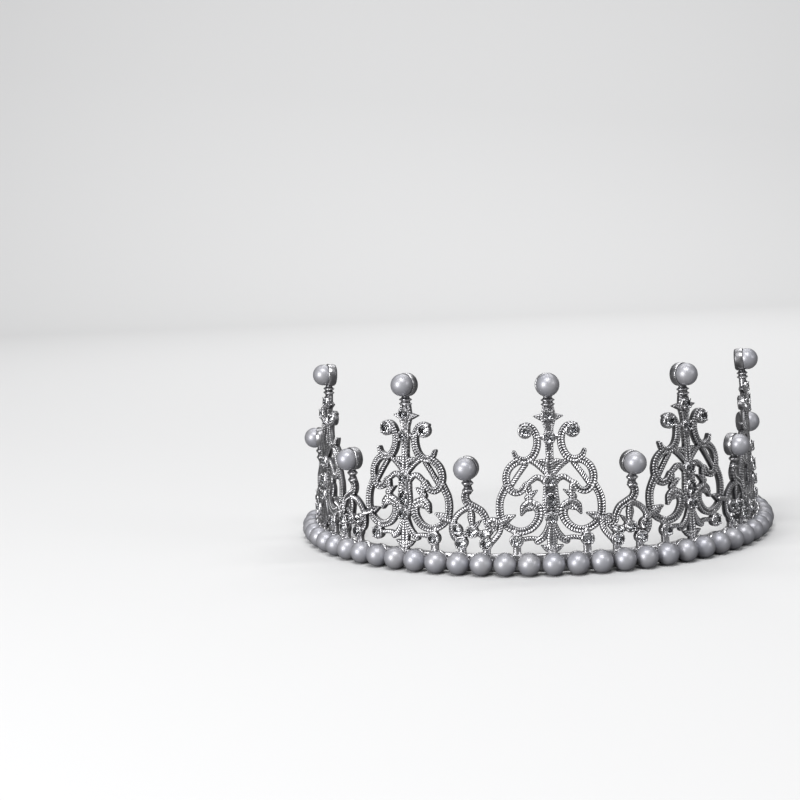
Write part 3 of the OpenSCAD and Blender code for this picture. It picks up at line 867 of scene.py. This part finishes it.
PANEL_SPINE = [
    ([(0, -0.9), (0, 3.6), (0, 6.0), (0, 11.5)], [2.5, 2.5, 3.2, 1.7], leaf),
    ([(0, 11.4), (0, 13.6), (0, WINDOW_H), (0, 22.5), (0, 25.4), (0, 27.6)],
     [2.6, 4.3, 5.2, 4.5, 4.1, 2.6], beaded_band),
    ([(0, 26.8), (0, 29.0), (0, 31.0), (0, 33.4)], [2.4, 3.4, 2.6, 1.6], leaf, 0.15),
    ([(0, 32.4), (0, 35.5), (0, 41.5)], [2.1, 2.3, 2.7], beaded_band),
    ([(0, 40.8), (0, 44.2), (0, 47.4)], [2.6, 4.6, 3.2], beaded_band),
]


def panel_parts(i):
    """Strokes, posts, settings, collar and cup of the tall panel i."""
    s = PANELS[i]
    bend = on_wall(s)
    parts = strokes(PANEL_SPINE, bend)
    for flip in (False, True):
        side = -1 if flip else 1
        parts += strokes(PANEL_HALF, bend, flip)
        parts += setting(standing(s, side * FOOT_U, FOOT_H))
        parts += setting(standing(s, side * CURL[0], CURL[1]), 2.2)
    for side in POSTS[i]:
        post = [([(side * FOOT_U, POST_LOW), (side * FOOT_U, FOOT_H - 1.2)], POST_W, plain_bar)]
        parts += strokes(post, bend)
    for h in SPINE_STONES:
        parts += setting(standing(s, 0, h), 1.95)
    parts += setting(standing(s, 0, WINDOW_H), 1.95, stretch=WINDOW_STRETCH)
    parts.append(collar(bend, 0, 46.4, 51.4, [(48.1, 0.85, 0.42), (49.4, 0.85, 0.42)], 1.3))
    parts.append(drum(standing(s, 0, PEARL_H)))
    return parts


for i in range(5):
    made = piece(f"panel_{i + 1}_cast", panel_parts(i), filigree_silver,
                 f"panel_{i + 1}")
print("faces of a tall panel:", len(made.data.polygons))

# %% [markdown]
# ## Small scrolls
# The small scroll's twisted stem swings up from a tangle of stones and leaves to its pearl.
# Every second scroll round the crown is the mirror image of the drawing, so the two halves of
# the crown mirror each other.

# %% Drawing of a small scroll
SCROLL_PEARL = (-1.6, 29.2)
HEART = (-0.3, 9.6)
SCROLL_LEAVES = [((-5.0, 10.2), -0.9), ((3.6, 8.9), 0.15)]
LEAF_STRETCH = 0.72

SCROLL = [
    *[([(u, POST_LOW), (u, h - 1.4)], POST_W, plain_bar) for u, h in SCROLL_FEET],
    ([(-6.2, 11.4), (-3.6, 8.4), (0, 9.4), (3.6, 8.2), (5.2, 9.6)], 1.9, leaf, -0.15),
    ([(-1.3, 22.6), (-2.3, 20.4), (-1.6, 18.4), (0.4, 17.2), (2.7, 15.8), (4.0, 13.6),
      (4.4, 11.6), (5.6, 10.4), (6.9, 10.9), (6.9, 12.2)],
     [2.1, 2.2, 2.1, 1.9, 1.5, 1.2], two_ropes, 0.2),
    ([(-0.6, 17.0), (-3.2, 16.0), (-5.6, 13.9), (-7.0, 11.0), (-6.6, 8.0), (-4.8, 6.2)],
     1.7, one_rope),
    ([(-0.6, 17.2), (-0.6, 14.0), (-0.3, 10.8)], [1.2, 2.3, 1.2], leaf, 0.1),
    ([(4.6, 12.4), (6.0, 13.2), (8.0, 12.5), (10.4, 13.2)], [1.6, 1.6, 1.4], one_rope),
    ([(8.7, 12.4), (8.0, 9.4), (5.9, 6.6), (4.2, 5.2)], 1.6, one_rope, -0.05),
    ([(2.2, 12.8), (1.0, 11.6), (0.2, 10.4)], [0.5, 1.4, 1.0], leaf),
]
OUTER_LINK = [([(-6.4, 12.2), (-8.2, 12.6), (-10.4, 13.2)], [1.7, 1.5, 1.5], one_rope)]


def hand(i):
    """1 for a scroll as drawn, -1 for its mirror image; they take turns round the crown."""
    return 1 if i % 2 == 0 else -1


def on_scroll(i, u, h, turn=0.0):
    """Rigid place at (u, h) of the drawing of scroll i."""
    return standing(SCROLLS[i], hand(i) * u, h, hand(i) * turn, SCROLL_LEAN)


def scroll_parts(i):
    """Strokes, settings, neck beads and cup of the small scroll i."""
    bend = on_wall(SCROLLS[i], SCROLL_LEAN)
    parts = strokes(SCROLL + (OUTER_LINK if 0 < i < 5 else []), bend, hand(i) < 0)
    for u, h in SCROLL_FEET:
        parts += setting(on_scroll(i, u, h))
    parts += setting(on_scroll(i, *HEART), 1.95)
    for (u, h), turn in SCROLL_LEAVES:
        parts += setting(on_scroll(i, u, h, turn), 1.9, stretch=LEAF_STRETCH, claws=0)
    parts.append(collar(bend, hand(i) * -1.45, 21.2, 26.6,
                        [(22.3, 0.7, 0.6), (24.6, 0.85, 0.65)], 1.05))
    parts.append(drum(on_scroll(i, *SCROLL_PEARL)))
    return parts


for i in range(6):
    made = piece(f"scroll_{i + 1}_cast", scroll_parts(i), filigree_silver,
                 f"scroll_{i + 1}")
print("faces of a small scroll:", len(made.data.polygons))

# %% [markdown]
# ## Pearls and rhinestones
# The pearls are full spheres, 46 alike. Two angles on a grid give such a ball, and its poles
# are closed by a point each, so the same few arrays make every pearl on the crown.

# %% Pearls
for g in range(7):
    row = [pearl(at_pearl((5 * g - 17 + k) * PITCH), 0) for k in range(5)]
    piece(f"rail_pearl_row_{g + 1}", row, pearl_coat, f"rail_pearls_{g + 1}")
for i, s in enumerate(PANELS):
    piece(f"panel_pearl_{i + 1}_bead", [pearl(standing(s, 0, PEARL_H))], pearl_coat,
          f"panel_pearl_{i + 1}")
for i in range(6):
    piece(f"scroll_pearl_{i + 1}_bead", [pearl(on_scroll(i, *SCROLL_PEARL))], pearl_coat,
          f"scroll_pearl_{i + 1}")

# %% [markdown]
# Each stone is the same cut turned by its own angle, as a setter drops them in, so no two catch
# the light alike. The stones are flat shaded: rounded normals would wash their facets out.

# %% Rhinestones
def turned(k):
    """A different turn for each stone: whole steps of 137.5 degrees."""
    return np.radians(137.5) * k


for i, s in enumerate(PANELS):
    stones = [brilliant(standing(s, 0, h, turned(k + i))) for k, h in enumerate(SPINE_STONES)]
    stones.append(brilliant(standing(s, 0, WINDOW_H), stretch=WINDOW_STRETCH))
    for k in (-1, 1):
        stones.append(brilliant(standing(s, k * FOOT_U, FOOT_H, turned(5 + k + i))))
        stones.append(brilliant(standing(s, k * CURL[0], CURL[1], turned(8 + k + i))))
    piece(f"panel_stones_{i + 1}_cut", stones, stone_glass,
          f"panel_stones_{i + 1}", False)
for i in range(6):
    stones = [brilliant(on_scroll(i, u, h, turned(k + i)))
              for k, (u, h) in enumerate([HEART, *SCROLL_FEET])]
    stones += [brilliant(on_scroll(i, u, h, turn), stretch=LEAF_STRETCH)
               for (u, h), turn in SCROLL_LEAVES]
    piece(f"scroll_stones_{i + 1}_cut", stones, stone_glass,
          f"scroll_stones_{i + 1}", False)

# %% [markdown]
# ## Floor and light
# A pale floor curves up into a backdrop a metre behind the crown. A wide softbox high in front
# makes the main highlight on each pearl and draws the bright lines on the ropes. One low on the
# left and a weaker one on the right model the sides, and a soft one behind keeps the backs of
# the castings readable. The last one lights the paper. Paper and surroundings look pale to the
# camera but throw little light back: polished metal needs something dark to reflect.

# %% Stage
PALE = (0.80, 0.80, 0.80, 1)


def pale_to_camera(nodes, links, lit, socket):
    """Give a colour socket PALE for rays from the camera and the lit colour for all others."""
    ray, tone = nodes.new("ShaderNodeLightPath"), nodes.new("ShaderNodeMix")
    tone.data_type = "RGBA"
    tone.inputs["A"].default_value = lit
    tone.inputs["B"].default_value = PALE
    links.new(ray.outputs["Is Camera Ray"], tone.inputs["Factor"])
    links.new(tone.outputs["Result"], socket)


def make_backdrop():
    """A flat floor that turns up through a quarter circle: height = R - sqrt(R^2 - d^2)."""
    bend, run, rise, near, half_width = 0.5, 1.0, 1.6, -3.0, 3.0
    a = np.linspace(0, np.pi / 2, 25)
    y = np.concatenate([[near], run + bend * np.sin(a), [run + bend]])
    z = np.concatenate([[0], bend * (1 - np.cos(a)), [rise]])
    x = np.array([-half_width, half_width])
    verts = np.stack(np.broadcast_arrays(x[None], y[:, None], z[:, None]), -1).reshape(-1, 3)
    k = 2 * np.arange(len(y) - 1)
    faces = np.stack([k, k + 1, k + 3, k + 2], -1)
    mesh = bpy.data.meshes.new("backdrop")
    mesh.from_pydata(verts.tolist(), [], faces.tolist())
    mesh.polygons.foreach_set("use_smooth", np.full(len(faces), True))
    made, nodes, links, shader = new_material("pale_paper")
    pale_to_camera(nodes, links, (0.20, 0.20, 0.20, 1), shader.inputs["Base Color"])
    shader.inputs["Specular IOR Level"].default_value = 0.1
    shader.inputs["Roughness"].default_value = 0.9
    mesh.materials.append(made)
    backdrop = bpy.data.objects.new("backdrop", mesh)
    bpy.context.scene.collection.objects.link(backdrop)
    return backdrop


def softbox(name, place, target, width, height, power):
    """Area light at a place that faces a target; places are in metres."""
    data = bpy.data.lights.new(name, "AREA")
    data.shape = "RECTANGLE"
    data.size, data.size_y, data.energy = width, height, power
    light = bpy.data.objects.new(name, data)
    light.location = place
    light.rotation_euler = (Vector(place) - Vector(target)).to_track_quat("Z", "Y").to_euler()
    bpy.context.scene.collection.objects.link(light)
    return light


make_backdrop()
middle = Vector((0, 0, 0.03))
softbox("front_top", middle + 1.0 * direction(-8, 62), middle, 0.6, 0.45, 5.8)
softbox("left_side", middle + 0.9 * direction(-46, 12), middle, 0.34, 0.42, 5.0)
softbox("right_side", middle + 1.2 * direction(58, 22), middle, 0.4, 0.4, 1.6)
softbox("back", middle + 1.2 * direction(170, 40), middle, 0.6, 0.4, 2.0)
softbox("paper_light", (0, 0.6, 1.4), (0, 1.5, 0.3), 2.0, 0.4, 16)
world = bpy.data.worlds.new("studio")
bpy.context.scene.world = world
world.use_nodes = True
sky = world.node_tree
pale_to_camera(sky.nodes, sky.links, (0.156, 0.158, 0.164, 1),
               sky.nodes["Background"].inputs["Color"])
bpy.context.scene.view_settings.view_transform = "Standard"
